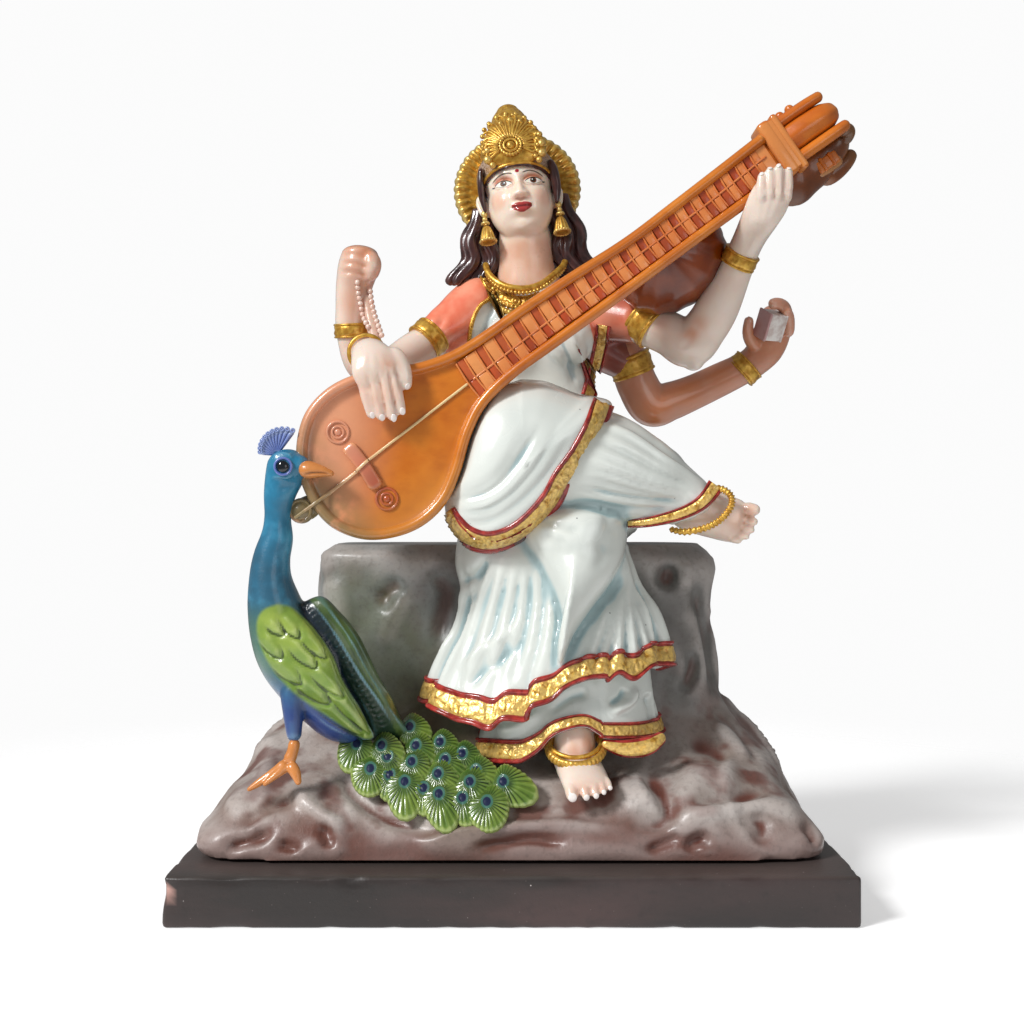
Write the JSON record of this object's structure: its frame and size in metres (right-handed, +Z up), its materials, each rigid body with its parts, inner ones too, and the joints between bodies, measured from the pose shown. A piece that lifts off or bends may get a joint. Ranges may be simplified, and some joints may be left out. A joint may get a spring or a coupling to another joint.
{
  "type": "seated goddess statuette",
  "caption": "Painted resin statuette of a four-armed goddess seated cross-legged on a rock, playing a veena, with a peacock at her side, on a dark slab plinth.",
  "frame": {"origin": "middle of the plinth's underside", "axes": "+Z up, -Y towards the viewer, +X to the right of the picture"},
  "size_m": [0.2085, 0.12, 0.2541],
  "materials": {
    "dark_plinth": "satin near-black paint with a reddish tint, worn at the edges",
    "painted_resin": "glossy airbrushed paint on filled cast resin"
  },
  "bodies": {
    "root": {"plinth": "dark_plinth", "figure_group": "painted_resin"}
  },
  "joints": []
}
